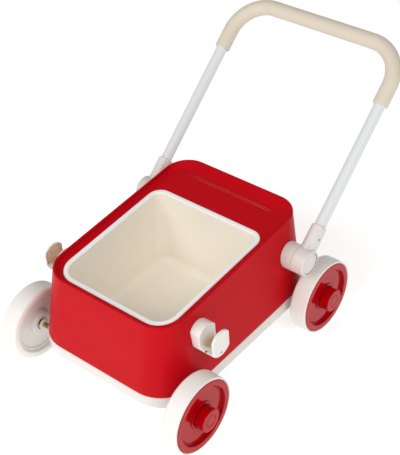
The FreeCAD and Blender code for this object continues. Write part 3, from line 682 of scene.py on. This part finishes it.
def screw_set(finish: Finish) -> Recipe:
    """Recipe for cross-head screws set on points, each turned at random about its own axis.

    Args:
        finish: Finish of the screws.

    Returns:
        The recipe; its points have the attribute "aim", the way the head faces.
    """
    tree = Recipe("screw_set", ("Head", "Height", "Shank", "Length"))
    head, height = tree.size("Head"), tree.size("Height")

    def moved(geometry: bpy.types.NodeSocket, rise: Channel) -> bpy.types.NodeSocket:
        """The geometry shifted along Z."""
        shift = tree.add("ShaderNodeCombineXYZ", {}, {"Z": rise})
        return tree.add("GeometryNodeTransform", {}, {"Geometry": geometry,
                                                      "Translation": shift.outputs[0]}).outputs[0]

    pan = tree.add("GeometryNodeMeshCone", {}, {"Vertices": 28, "Radius Top": head * 0.78,
                                                "Radius Bottom": head, "Depth": height})
    cross = moved(pan.outputs[0], height * -1.0)
    for across, along in ((ARM_LONG, ARM_WIDE), (ARM_WIDE, ARM_LONG)):
        block = tree.add("ShaderNodeCombineXYZ", {},
                         {"X": head * across, "Y": head * along, "Z": height * 1.1})
        arm = tree.add("GeometryNodeMeshCube", {}, {"Size": block.outputs[0]})
        cross = tree.add("GeometryNodeMeshBoolean", {"operation": "DIFFERENCE"},
                         {"Mesh 1": cross, "Mesh 2": arm.outputs[0]}).outputs[0]
    rod = tree.add("GeometryNodeMeshCylinder", {}, {"Vertices": 20, "Radius": tree.size("Shank"),
                                                    "Depth": tree.size("Length")})
    low = (tree.size("Length") * 0.5 + height * 0.9) * -1.0
    screw = tree.add("GeometryNodeJoinGeometry")
    for part in (cross, moved(rod.outputs[0], low)):
        tree.tree.links.new(part, screw.inputs[0])
    points = tree.add("GeometryNodeMeshToPoints", {}, {"Mesh": tree.given["Geometry"]})
    facing = tree.add("FunctionNodeAlignRotationToVector", {"axis": "Z"},
                      {"Vector": tree.named("aim", "FLOAT_VECTOR")})
    placed = tree.add("GeometryNodeInstanceOnPoints", {},
                      {"Points": points.outputs[0], "Instance": screw.outputs[0],
                       "Rotation": facing.outputs[0]})
    spin = tree.add("FunctionNodeRandomValue", {"data_type": "FLOAT"}, {"Seed": 7})
    spin.inputs[3].default_value = TURN
    turn = tree.add("ShaderNodeCombineXYZ", {}, {"Z": spin.outputs[1]})
    spun = tree.add("GeometryNodeRotateInstances", {},
                    {"Instances": placed.outputs[0], "Rotation": turn.outputs[0], "Local Space": True})
    tree.close(spun.outputs[0], finish)
    return tree


# --- outlines of body and bin
@dataclass(frozen=True)
class Outline:
    """Rounded rectangle seen from above, on a plane that may rise to the rear."""

    half: float
    front: float
    rear: float
    corner_front: float
    corner_rear: float
    height: float
    slope: float = 0.0
    datum: float = 0.0

    def ring(self, steps: int = 12, spans: int = 6) -> Ring:
        """Points round the outline.

        Args:
            steps: Spans of one corner.
            spans: Spans of one side.

        Returns:
            The ring, in metres.
        """
        corners = ((1, self.front, self.corner_front, 1, -90), (1, self.rear, self.corner_rear, -1, 0),
                   (-1, self.rear, self.corner_rear, -1, 90), (-1, self.front, self.corner_front, 1, 180))
        turns = []
        for side, y, radius, inward, start in corners:
            centre = Vector(((self.half - radius) * side, y + radius * inward))
            turns.append([centre + Vector((math.cos(a), math.sin(a))) * radius
                          for a in arc(math.radians(start), math.radians(start + 90), steps)])
        flat: list[Vector] = []
        for i, corner in enumerate(turns):
            flat += corner
            after = turns[(i + 1) % 4][0]
            flat += [corner[-1].lerp(after, n / spans) for n in range(1, spans)]
        return [Vector((p.x, p.y, self.height + self.slope * (p.y - self.datum))) * MM for p in flat]


def between(first: Ring, second: Ring, share: float) -> Ring:
    """Ring at a share of the way from one ring to another."""
    return [a.lerp(b, share) for a, b in zip(first, second)]


@dataclass
class Body:
    """Red shell, white tray and cream bin."""

    tray_low: Vector = field(default_factory=lambda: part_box("base_tray")[0] / MM)
    tray_high: Vector = field(default_factory=lambda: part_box("base_tray")[1] / MM)
    shell_high: Vector = field(default_factory=lambda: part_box("body_shell")[1] / MM)
    shell_low: Vector = field(default_factory=lambda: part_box("body_shell")[0] / MM)
    corner: float = 59.0
    ledge: float = 0.9
    lip_inset: float = 17.1
    lip_front: float = 24.2
    lip_rear: float = 8.8
    lip_tilt: float = 3.3
    lip_wide: float = 3.6
    lip_corner_front: float = 43.0
    lip_corner_rear: float = 41.0
    lip_round: float = 1.5
    deck_drop: float = 7.7
    rear_slope: float = 17.0
    wall: float = 3.2
    rim_inset: float = 13.3
    rim_front: float = 12.4
    rim_rear: float = 77.0
    rim_corner_front: float = 34.0
    rim_corner: float = 22.0
    rim_wide: float = 8.0
    rim_drop: float = 8.0
    rim_thick: float = 3.0
    floor_round: float = 14.0
    bin_wall: float = 2.2
    lift_gap: float = 0.4
    bin_draft: float = 3.4
    ring_x: float = -16.0
    ring_back: float = 150.4
    ring_radius: float = 13.6
    ring_wire: float = 0.45
    ring_spans: int = 72
    beads: tuple[tuple[float, float, float], ...] = ((27.4, -85.4, 79.7), (31.0, -78.5, 84.1))
    bead_wire: float = 1.1
    bead_spans: int = 24
    bead_taper: int = 3
    bead_tip: float = 0.05

    def __post_init__(self) -> None:
        """Work out the lip plane from the shell's box."""
        self.slope = math.tan(math.radians(self.lip_tilt))
        self.half = self.shell_high.x
        self.lip_half = self.half - self.lip_inset
        self.front = self.shell_low.y + self.lip_front
        self.rear = self.shell_high.y - self.lip_rear
        self.lip_height = self.shell_high.z - self.slope * (self.rear - self.front)

    def lip(self, inset: float, drop: float, rear_inset: Optional[float] = None) -> Ring:
        """Ring of the shell's top.

        Args:
            inset: Distance inwards from the lip's outer edge.
            drop: Depth under the lip's plane.
            rear_inset: Distance inwards at the rear, where it differs.

        Returns:
            The ring.
        """
        rear_inset = inset if rear_inset is None else rear_inset
        corner_rear = max(self.lip_corner_rear - inset - 0.4 * (rear_inset - inset), 1.0)
        return Outline(self.lip_half - inset, self.front + inset, self.rear - rear_inset,
                       self.lip_corner_front - inset, corner_rear, self.lip_height - drop, self.slope,
                       self.front).ring()

    def base(self, inset: float, height: float) -> Ring:
        """Level ring of the base, `inset` from the tray's side."""
        return Outline(self.half - inset, self.shell_low.y + inset, self.shell_high.y - inset,
                       self.corner - inset, self.corner - inset, height).ring()

    def rim(self, grow: float, drop: float) -> Ring:
        """Ring round the bin's rim, `grow` outside it and `drop` under the lip's plane."""
        return Outline(self.lip_half - self.rim_inset + grow, self.front + self.rim_front - grow,
                       self.rear - self.rim_rear + grow, self.rim_corner_front + grow, self.rim_corner + grow,
                       self.lip_height - drop, self.slope, self.front).ring()

    def build_shell(self) -> bpy.types.Object:
        """Red shell: drafted wall, rolled lip, sunk deck, stepped opening, inner wall."""
        low = self.shell_low.z
        outer_low, outer_high = self.base(self.ledge, low), self.lip(0.0, 0.0)
        rings = [self.base(self.ledge + 0.7, low), self.base(self.ledge + 0.15, low + 0.2)]
        rings += [between(outer_low, outer_high, share) for share in (0.01, 0.25, 0.5, 0.75, 0.97)]
        lip, drop = self.lip_round, self.deck_drop
        for up, down in quarter(6):
            rings.append(self.lip(lip * up - 0.2 * (1 - up), lip * down))
        inner = 1.1
        for up, down in quarter(5):
            rings.append(self.lip(self.lip_wide - inner * down, inner * up,
                                  self.lip_wide - inner * down + 2.0 * up))
        foot = 4.0
        for up, down in quarter(5):
            fall = drop - foot * down
            back = self.lip_wide + 2.0 + (self.rear_slope - 2.0) * (fall - inner) / (drop - inner)
            rings.append(self.lip(self.lip_wide + foot * up, fall, back))
        edge = 1.2
        rings.append(self.rim(edge + 2.5, drop))
        for up, down in quarter(5):
            rings.append(self.rim(0.7 + edge * down, drop + edge * up))
        opening = self.bin_wall + self.lift_gap - self.rim_wide
        rings += [self.rim(0.7, drop + 3.3), self.rim(opening, drop + 3.3),
                  self.rim(opening, drop + 8.2), self.rim(3.0, drop + 8.2), self.rim(3.0, drop + self.wall),
                  self.lip(self.wall - 1.4, drop + self.wall), self.base(self.wall + self.ledge, low)]
        return finished("red_shell", skin(rings, closed=True), RED_SATIN, "chassis", "body_shell")

    def build_tray(self) -> bpy.types.Object:
        """White tray: rounded foot, eased top edge, spigot, flat inside."""
        low, high = self.tray_low.z, self.shell_low.z
        foot, top = 2.6, 0.9
        rings = [self.base(foot + 22.0, low)]
        for up, down in quarter(6):
            rings.append(self.base(foot * down, low + foot * up))
        rings.append(self.base(0.0, (low + high) / 2))
        for up, down in quarter(5):
            rings.append(self.base(top * up, high - top * down))
        rings += [self.base(4.3, high), self.base(4.6, high + 4.0), self.base(6.6, high + 4.0),
                  self.base(6.8, low + 3.0)]
        return finished("white_tray", skin(rings, closed=False), WHITE_SATIN, "chassis", "base_tray")

    def build_bin(self) -> bpy.types.Object:
        """Cream bin: drafted wall, rolled rim painted whiter as painted light, soft inner corners and floor.
        """
        drop, wide, thick = self.rim_drop, self.rim_wide, self.rim_thick
        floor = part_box("bin")[0].z / MM
        half = self.lip_half - self.rim_inset

        def level(inset: float, height: float) -> Ring:
            """Level ring near the floor, `inset` inside the rim."""
            inward = inset - self.bin_draft
            front, rear = max(self.rim_corner_front - inward, 6.0), max(self.rim_corner - inward + 5.0, 6.0)
            return Outline(half - inset, self.front + self.rim_front + inset + 1.0,
                           self.rear - self.rim_rear - inset - 2.0, front, rear, height).ring()

        skin_wall = self.bin_wall
        outside = wide - skin_wall + self.bin_draft
        rings = [level(outside + 3.0, floor), level(outside + 0.9, floor + 0.9), level(outside, floor + 3.0)]
        rings += [self.rim(skin_wall - wide, drop + thick), self.rim(-0.8, drop + thick)]
        for a in arc(0.0, math.pi, 8):
            rings.append(self.rim(-1.4 + 1.4 * math.sin(a), drop + thick - 1.5 * (1 - math.cos(a))))
        for up, down in quarter(6):
            rings.append(self.rim(-(wide - 2.4) - 2.4 * (1 - down), drop + 2.4 * up))
        inside = wide + self.bin_draft
        wall_top, wall_foot = self.rim(-wide, drop + 2.4), level(inside, floor + skin_wall + self.floor_round)
        rings += [between(wall_top, wall_foot, share) for share in (0.3, 0.65)]
        for up, down in quarter(8):
            rings.append(level(inside + self.floor_round * up,
                               floor + skin_wall + self.floor_round * down))
        # the rim above the deck level is painted whiter: painted light
        cream = LitRimFinish("cream_bin_lit_rim", BIN_CREAM.colour, BIN_CREAM.tone, 0.4, 0.05, specular=0.45,
                             slope=self.slope, level=self.lip_height - self.slope * self.front - drop - thick)
        return finished("cream_bin", skin(rings, closed=False), cream, "bin", "bin", sharp=60.0)

    def build_beads(self) -> None:
        """Two fine beads along the foot of the rear slope, tapering out at their ends."""
        tree = swept("foot_beads", RED_BEAD, 0, 14)
        deck = self.lip_height - self.deck_drop
        spans, taper = self.bead_spans, self.bead_taper
        swell = [max(self.bead_tip, min(1.0, n / taper, (spans - n) / taper)) for n in range(spans + 1)]
        for number, (back, start, stop) in enumerate(self.beads, start=1):
            y = self.rear - back
            z = deck + self.slope * (y - self.front)
            points = [Vector((x, y, z)) * MM for x in arc(start, stop, spans)]
            mesh = tree.bake(line_mesh(points, swell=swell), {"Radius": self.bead_wire})
            finished(f"foot_bead_{number}", mesh, RED_BEAD, "chassis", slot="red_shell")

    def build_floor_ring(self) -> None:
        """Faint moulded ring in the bin's floor."""
        tree = swept("floor_ring", BIN_CREAM, 0, 10)
        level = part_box("bin")[0].z / MM + self.bin_wall
        middle = Vector((self.ring_x, self.rear - self.ring_back, level))
        points = [(middle + Vector((math.cos(a), math.sin(a), 0.0)) * self.ring_radius) * MM
                  for a in arc(0.0, TURN, self.ring_spans)]
        mesh = tree.bake(line_mesh(points, swell=[1.0] * len(points)), {"Radius": self.ring_wire})
        finished("bin_floor_ring", mesh, BIN_CREAM, "bin", slot="cream_plastic")

    def build(self) -> None:
        """Build the shell with its beads, the tray and the bin with its ring."""
        self.build_beads()
        self.build_floor_ring()
        self.build_shell()
        self.build_tray()
        self.build_bin()


# --- wheels
@dataclass
class Wheel:
    """One wheel: tyre, core, dished cap and knob, turned about its axle."""

    end: str
    hand: str
    radius: float = 60.0
    width: float = 29.4
    seat: float = 50.0
    step: float = 24.4
    cap: float = 56.3
    groove: float = 0.7
    dish: float = 47.2
    knob: float = 18.0
    knob_face: float = 42.7

    def __post_init__(self) -> None:
        """Find the wheel's place from its tyre."""
        self.key = f"{self.end}_{self.hand}"
        self.body = f"wheel_{self.key}"
        self.side = 1 if self.hand == "right" else -1
        low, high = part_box(f"tyre_{self.key}")
        inner = low.x if self.side > 0 else high.x
        self.centre = Vector((inner, (low.y + high.y) / 2, (low.z + high.z) / 2))

    def turned(self, name: str, corners: Sequence[tuple[float, float, float]], finish: Finish, node: str,
               steps: int = 4) -> bpy.types.Object:
        """Turn one piece and hang it on the wheel's body."""
        mesh = lathe(eased(corners, steps), self.centre, self.side)
        return finished(f"{name}_{self.key}", mesh, finish, self.body, f"{node}_{self.key}")

    def build_tyre(self) -> bpy.types.Object:
        """Tyre with soft shoulders and a fine parting line on its tread."""
        r, line = self.radius, 19.6
        return self.turned("tyre_ring", [
            (0.0, self.seat, 0.6), (0.0, r, 5.0), (line - 0.35, r, 0.15), (line, r - 0.18, 0.1),
            (line + 0.35, r, 0.15), (self.width, r, 2.0), (self.width, self.cap + self.groove, 0.5),
            (self.step, self.cap + self.groove, 0.0), (self.step, self.seat, 0.0)], TYRE_WHITE, "tyre", 6)

    def build_core(self) -> bpy.types.Object:
        """Inner side: stepped ring, shallow cone, rounded hub with its bore."""
        return self.turned("wheel_core", [
            (0.6, self.seat, 0.0), (0.6, 48.2, 0.5), (4.6, 47.0, 0.7), (4.6, 43.6, 0.7), (7.4, 42.0, 1.0),
            (8.8, 23.5, 1.5), (8.0, 21.0, 0.8), (1.4, 19.4, 1.4), (0.9, 16.0, 1.0), (2.0, 9.6, 0.8),
            (6.2, 9.4, 0.3), (6.2, 5.1, 0.0), (22.0, 5.1, 0.0), (22.0, 11.0, 0.3), (12.0, 11.0, 0.5),
            (12.0, 47.5, 0.5), (self.step, 47.5, 0.2), (self.step, self.seat, 0.0)], WHITE_SATIN, "core")

    def build_cap(self) -> bpy.types.Object:
        """Red cap: flat flange, step down, ledge, groove and disc."""
        face, flange = self.step, self.width + 0.4
        return self.turned("red_cap", [
            (face, self.cap, 0.0), (flange, self.cap, 0.9), (flange, self.dish, 0.7),
            (face - 0.6, self.dish - 0.9, 0.6), (face - 0.6, 45.0, 0.25),
            (face - 1.4, 44.7, 0.2), (face - 1.4, 44.2, 0.2), (face + 0.2, 43.9, 0.35),
            (face + 0.2, 22.4, 0.4), (face + 2.6, 22.0, 0.6), (face + 2.6, self.knob + 1.3, 0.4),
            (face + 0.2, self.knob + 1.1, 0.0), (face, 15.0, 0.0), (face - 2.2, 15.0, 0.0),
            (face - 2.2, self.dish, 0.0)], RED_GLOSS, "hub_cap")

    def build_knob(self) -> bpy.types.Object:
        """Red knob with an engraved circle in its face."""
        face, end = self.step + 0.2, self.knob_face
        return self.turned("red_knob", [
            (face - 2.0, 12.5, 0.0), (face - 2.0, 14.8, 0.0), (face, 14.8, 0.0), (face, self.knob, 0.2),
            (end, self.knob, 1.1), (end, 10.0, 0.25), (end - 0.8, 9.7, 0.15), (end - 0.8, 9.1, 0.15),
            (end, 8.8, 0.25), (end, 0.0, 0.0), (end - 2.6, 0.0, 0.0), (end - 2.6, 12.5, 0.5)],
            RED_GLOSS, "hub_knob")

    def build(self) -> None:
        """Build the four pieces."""
        self.build_tyre()
        self.build_core()
        self.build_cap()
        self.build_knob()


# --- handle
@dataclass
class Handle:
    """Bent tube and grip, set out in the plane of the handle from its hinge axis."""

    lean: float = 50.03
    reach: float = 349.9
    spread: float = 150.9
    bend: float = 58.0
    tube: float = 9.0
    grip: float = 12.3
    tube_start: float = 24.0
    grip_start: float = 260.0

    def __post_init__(self) -> None:
        """Find the hinge from its joint and the axes of the handle's plane."""
        self.hinge = hinge_axis()
        tilt = math.radians(self.lean)
        self.along = Vector((0.0, math.sin(tilt), math.cos(tilt)))
        self.across = Vector((1.0, 0.0, 0.0))

    def bar(self, name: str, node: str, finish: Finish, start: float, radius: float, ease: float) -> None:
        """One bent bar from one side to the other, with eased ends.

        Args:
            name: Name of the piece.
            node: CAD node that it stands for.
            finish: Its finish.
            start: Distance of the two ends from the hinge axis.
            radius: Its radius.
            ease: Rounding of the end edges.
        """
        ends = [(ease * up, 1 - ease * down / radius) for up, down in quarter(5)]
        flat = [(self.spread, start + slide, share, 0.0) for slide, share in ends]
        flat.append((self.spread, self.reach, 1.0, 1.0))
        flat += [(-x, y, share, corner) for x, y, share, corner in reversed(flat)]
        points = [self.hinge + (self.across * x + self.along * y) * MM for x, y, _, _ in flat]
        line = line_mesh(points, swell=[f[2] for f in flat], corner=[f[3] for f in flat])
        mesh = swept(name, finish).bake(line, {"Radius": radius, "Bend": self.bend})
        finished(name, mesh, finish, "handle", node)

    def build(self) -> None:
        """Build tube and grip."""
        self.bar("handle_tube_coated", "handle_tube", TUBE_WHITE, self.tube_start, self.tube, 0.2)
        self.bar("handle_grip_sleeve", "grip", GRIP_BEIGE, self.grip_start, self.grip, 1.6)


# --- small hardware
@dataclass(frozen=True)
class ScrewRow:
    """One CAD node of screws: which way their heads face and how big they are."""

    node: str
    body: str
    down: bool
    height: float
    shank: float


def islands(node: str) -> list[tuple[Vector, Vector]]:
    """Lowest and highest corner of each separate solid in a CAD node, in metres."""
    work = bmesh.new()
    work.from_mesh(frame["nodes"][node].data)
    bmesh.ops.remove_doubles(work, verts=work.verts, dist=0.001 * MM)
    left, boxes = set(work.verts), []
    for start in work.verts:
        if start not in left:
            continue
        left.discard(start)
        stack, found = [start], []
        while stack:
            point = stack.pop()
            found.append(point.co.copy())
            for edge in point.link_edges:
                other = edge.other_vert(point)
                if other in left:
                    left.discard(other)
                    stack.append(other)
        boxes.append((Vector(min(p[i] for p in found) for i in range(3)),
                      Vector(max(p[i] for p in found) for i in range(3))))
    work.free()
    return boxes


@dataclass
class Hardware:
    """Screws set by a recipe, and kept CAD nodes with their finishes."""

    rows: tuple[ScrewRow, ...] = (ScrewRow("base_screws", "chassis", True, 2.2, 1.9),
                                  ScrewRow("socket_screws", "handle", False, 0.9, 0.7))
    hinge: tuple[str, ...] = ("hinge_boss_right", "hinge_boss_left", "knuckle_right", "knuckle_left",
                              "release_button_right", "release_button_left")
    white: tuple[str, ...] = ("axle_washers",)
    steel: tuple[str, ...] = ("clip_screws", "wall_screws", "button_springs", "pivot_pin_right",
                              "pivot_pin_left", "axle_retainers")
    zinc: tuple[str, ...] = ("front_axle", "rear_axle")
    trough_drop: float = 0.7

    def build_screws(self, row: ScrewRow) -> None:
        """Set one row of cross-head screws where its CAD solids stand.

        Args:
            row: The row.
        """
        seats, aims, reach, head = [], [], 0.0, 0.0
        for low, high in islands(row.node):
            middle = (low + high) / 2
            span = high - low
            way = Vector((0.0, 0.0, -1.0)) if row.down else Vector((math.copysign(1.0, middle.x), 0.0, 0.0))
            seats.append(middle + Vector([turn * size / 2 for turn, size in zip(way, span)]))
            aims.append(way)
            reach, head = (span.z, span.x / 2) if row.down else (span.x, span.z / 2)
        mesh = bpy.data.meshes.new("seats")
        mesh.from_pydata([tuple(seat) for seat in seats], [], [])
        aim = mesh.attributes.new("aim", "FLOAT_VECTOR", "POINT")
        aim.data.foreach_set("vector", [v for way in aims for v in way])
        sizes = {"Head": head / MM, "Height": row.height, "Shank": row.shank,
                 "Length": reach / MM - row.height}
        finished(f"{row.node}_cross_head", screw_set(SCREW_STEEL).bake(mesh, sizes), SCREW_STEEL, row.body,
                 row.node, sharp=30.0)

    def build_clips(self) -> None:
        """Dress the handle clips: white outside, painted a darker warm tan in the trough and on the cover's
        hollow inner face.
        """
        low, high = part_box("clip_body_right")
        cover_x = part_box("clip_cover_right")[0].x / MM
        middle = (low + high) / 2 / MM
        white, shade = (0.80, 0.77, 0.73), (0.78, 0.75, 0.705)
        body = RecessTanFinish("white_clip_moulding", white, shade, 0.36, 0.06, specular=0.4,
                           axis_y=middle.y, axis_z=middle.z - self.trough_drop)
        # the cover's hollow inner face is painted a darker warm tan
        cover = replace(body, name="white_clip_cover", accent=(0.78, 0.54, 0.31), reach=0.0,
                        inner_x=cover_x + 2.1)
        for hand in ("left", "right"):
            dress(f"clip_body_{hand}", body)
            dress(f"clip_cover_{hand}", cover)

    def build(self) -> None:
        """Set the screws and dress the kept nodes."""
        for row in self.rows:
            self.build_screws(row)
        self.build_clips()
        axis = hinge_axis() / MM
        seamed = SeamedFinish("white_hinge_moulding", WHITE_SATIN.colour, WHITE_SATIN.tone, 0.36, 0.06,
                              specular=0.4, axis_y=axis.y, axis_z=axis.z)
        for names, finish in ((self.hinge, seamed), (self.white, WHITE_SATIN),
                              (self.steel, SCREW_STEEL), (self.zinc, YELLOW_ZINC)):
            for name in names:
                dress(name, finish)


# --- studio
@dataclass
class Lamp:
    """One soft panel light."""

    name: str
    place: tuple[float, float, float]
    aim: tuple[float, float, float]
    size: tuple[float, float]
    power: float
    glossy: bool = True

    def build(self) -> None:
        """Hang the lamp."""
        light = bpy.data.lights.new(self.name, "AREA")
        light.shape = "RECTANGLE"
        light.size, light.size_y = self.size
        light.energy = self.power
        lamp = linked(self.name, light)
        lamp.visible_glossy = self.glossy
        lamp.location = self.place
        lamp.rotation_euler = (Vector(self.aim) - Vector(self.place)).to_track_quat("-Z", "Y").to_euler()


@dataclass
class Studio:
    """Pale floor, soft lights, world and camera."""

    camera_place: tuple[float, float, float] = (0.8991, -1.0329, 1.2594)
    azimuth: float = 41.89
    elevation: float = 38.83
    roll: float = 4.15
    lens: float = 90.42
    floor_reach: float = 18.0
    floor_glow: float = 0.44
    world_strength: float = 0.36

    def build_camera(self) -> None:
        """Place the camera by its bearing, its height over the horizon and its roll."""
        az, el, roll = (math.radians(v) for v in (self.azimuth, self.elevation, self.roll))
        forward = Vector((-math.sin(az) * math.cos(el), math.cos(az) * math.cos(el), -math.sin(el)))
        right = Vector((math.cos(az), math.sin(az), 0.0))
        up = right.cross(forward)
        right, up = (right * math.cos(roll) - up * math.sin(roll),
                     up * math.cos(roll) + right * math.sin(roll))
        data = bpy.data.cameras.new("camera")
        data.sensor_width, data.lens = 36.0, self.lens
        data.clip_start, data.clip_end = 0.05, 20.0
        camera = linked("camera", data)
        turn = Matrix((right, up, -forward)).transposed()
        camera.rotation_mode = "QUATERNION"
        camera.rotation_quaternion = turn.to_quaternion()
        camera.location = self.camera_place
        bpy.context.scene.camera = camera

    def build_floor(self) -> None:
        """Lay a plain pale floor."""
        sheet = NodeSheet("pale_floor")
        tone = sheet.mixed(sheet.noise(900.0, 2.0), (0.93, 0.93, 0.93), (0.91, 0.91, 0.91))
        fixed = {"Roughness": 0.9, "Specular IOR Level": 0.1, "Emission Color": (1.0, 1.0, 1.0, 1.0),
                 "Emission Strength": self.floor_glow}
        material = sheet.surface(fixed, {"Base Color": tone})
        work = bmesh.new()
        bmesh.ops.create_grid(work, x_segments=2, y_segments=2, size=self.floor_reach)
        mesh = bpy.data.meshes.new("floor")
        work.to_mesh(mesh)
        work.free()
        mesh.materials.append(material)
        floor = linked("floor", mesh)

    def build_world(self) -> None:
        """Even white surroundings."""
        world = bpy.data.worlds.new("studio")
        world.use_nodes = True
        back = world.node_tree.nodes["Background"]
        back.inputs["Color"].default_value = (1.0, 1.0, 1.0, 1.0)
        back.inputs["Strength"].default_value = self.world_strength
        bpy.context.scene.world = world
        bpy.context.scene.view_settings.view_transform = "Standard"

    def build(self) -> None:
        """Build the whole studio."""
        self.build_world()
        self.build_floor()
        self.build_camera()
        Lamp("key", (-0.3, -2.15, 1.7), (0.0, -0.1, 0.1), (2.0, 1.6), 41.0).build()
        Lamp("side", (1.75, -0.45, 1.75), (0.0, -0.1, 0.1), (1.4, 1.4), 18.0, glossy=False).build()


def main() -> None:
    """Build the trolley and its studio."""
    logging.basicConfig(level=logging.INFO, format="%(message)s")
    Body().build()
    for end in ("front", "rear"):
        for hand in ("left", "right"):
            Wheel(end, hand).build()
    Handle().build()
    Hardware().build()
    Studio().build()


if __name__ == "__main__":
    main()
